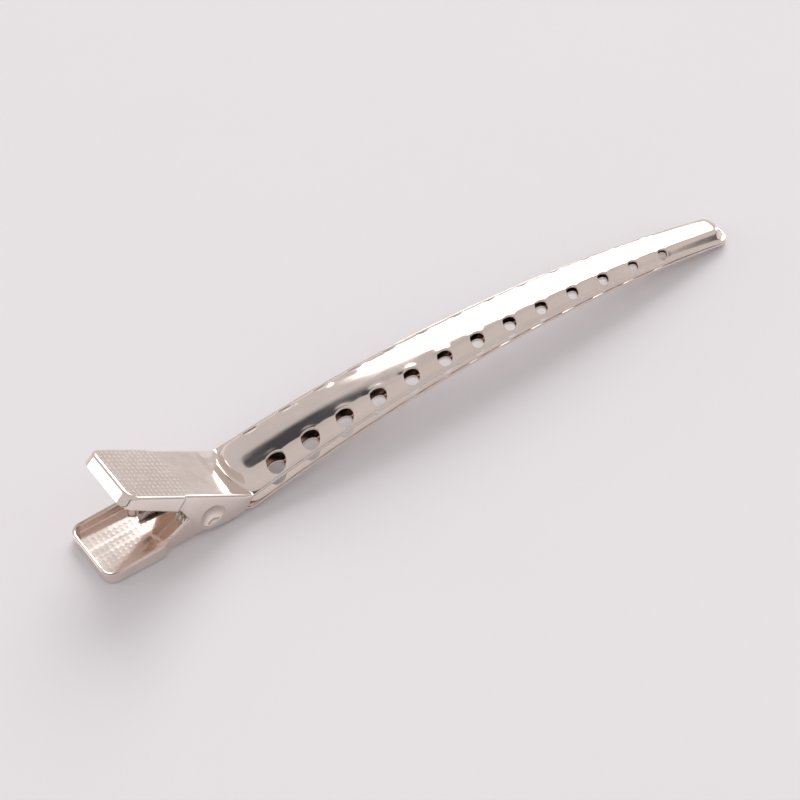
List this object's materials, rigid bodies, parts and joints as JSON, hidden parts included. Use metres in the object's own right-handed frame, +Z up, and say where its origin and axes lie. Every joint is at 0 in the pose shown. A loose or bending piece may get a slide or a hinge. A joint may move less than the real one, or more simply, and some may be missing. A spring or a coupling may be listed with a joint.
{
  "type": "sectioning hair clip",
  "caption": "Long duckbill sectioning clip in plated sheet steel: two arched, pierced jaws with knurled finger pads on a sprung pivot.",
  "frame": {"origin": "centre of the clip's footprint, on the surface it lies on", "axes": "+X along the clip towards the jaw tips, +Y along the pivot, +Z up"},
  "size_m": [0.12, 0.0116, 0.0169],
  "materials": {
    "plated_steel": "bright nickel plate",
    "spring_wire": "drawn spring wire"
  },
  "bodies": {
    "lower": {"lower_leaf": "plated_steel", "torsion_spring": "spring_wire"},
    "upper": {"upper_leaf": "plated_steel", "pivot_pin": "plated_steel"}
  },
  "joints": [
    {"name": "jaw_hinge", "type": "hinge", "parent": "lower", "child": "upper", "pos_m": [-0.0418, 0, 0.00365], "axis": [0, -1, 0], "range_deg": [0, 43], "stiffness_Nm_per_rad": 0.18, "springref_deg": -57.3, "deforming": ["torsion_spring"]}
  ]
}
